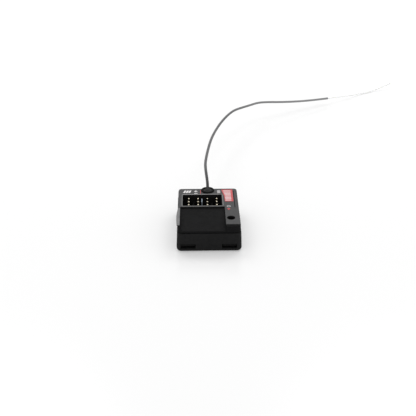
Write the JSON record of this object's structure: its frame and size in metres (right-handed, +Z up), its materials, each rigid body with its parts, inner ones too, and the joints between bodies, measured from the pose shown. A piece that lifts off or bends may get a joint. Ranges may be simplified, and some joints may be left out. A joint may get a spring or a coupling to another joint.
{
  "type": "rc receiver",
  "caption": "Small radio-control receiver: two-part snap case with a ramped top, servo pin ports, a bind button and a stiff coaxial aerial from a rear boss.",
  "frame": {"origin": "centre of the lower shell's flat underside", "axes": "+X to the right seen from the ramped end, +Y towards the aerial's end, +Z up out of the base"},
  "size_m": [0.1245, 0.185, 0.0191],
  "materials": {
    "lower_case": "fine matte moulding",
    "upper_case": "fine matte moulding",
    "label": "laminated print film",
    "grommet": "matte rubber",
    "coax_jacket": "satin extruded jacket",
    "cable_core": "pale translucent dielectric",
    "solder": "bright solder",
    "circuit_board": "green solder mask",
    "tinned_steel": "tinned sheet",
    "chip_plastic": "matte epoxy",
    "tantalum_yellow": "moulded epoxy",
    "ceramic_tan": "fired ceramic",
    "resistor_black": "glazed",
    "led_white": "clear lens over ceramic",
    "clear_guide": "frosted clear moulding",
    "switch_plastic": "moulded",
    "contact_steel": "stamped",
    "button_plastic": "moulded",
    "header_plastic": "moulded",
    "pin_gold": "gold flash"
  },
  "bodies": {
    "case": {"lower_shell": "lower_case", "upper_shell": "upper_case", "top_label": "label", "antenna_grommet": "grommet", "antenna_coax": "coax_jacket", "antenna_tip": "cable_core", "antenna_lead": "coax_jacket", "antenna_lead_solder": "solder", "main_board": "circuit_board", "header_solder": "solder", "rf_shield_can": "tinned_steel", "rf_transceiver": "chip_plastic", "microcontroller": "chip_plastic", "crystal": "tinned_steel", "voltage_regulator": "chip_plastic", "input_capacitor": "tantalum_yellow", "chip_capacitors": "ceramic_tan", "chip_resistors": "resistor_black", "status_led": "led_white", "status_light_guide": "clear_guide", "bind_switch_body": "switch_plastic", "bind_switch_dome": "contact_steel", "bind_switch_cover": "contact_steel", "bind_switch_legs": "contact_steel", "port_header_1": "header_plastic", "port_header_2": "header_plastic", "port_header_3": "header_plastic", "port_header_4": "header_plastic", "port_1_signal_pin": "pin_gold", "port_1_power_pin": "pin_gold", "port_1_ground_pin": "pin_gold", "port_2_signal_pin": "pin_gold", "port_2_power_pin": "pin_gold", "port_2_ground_pin": "pin_gold", "port_3_signal_pin": "pin_gold", "port_3_power_pin": "pin_gold", "port_3_ground_pin": "pin_gold", "port_4_signal_pin": "pin_gold", "port_4_power_pin": "pin_gold", "port_4_ground_pin": "pin_gold"},
    "button": {"bind_button": "button_plastic"}
  },
  "joints": [
    {"name": "bind_press", "type": "slide", "parent": "case", "child": "button", "axis": [0, 0, -1], "range_m": [0, 0.00025], "stiffness_N_per_m": 6000, "springref_m": -0.0001, "deforming": ["bind_switch_dome"]}
  ]
}
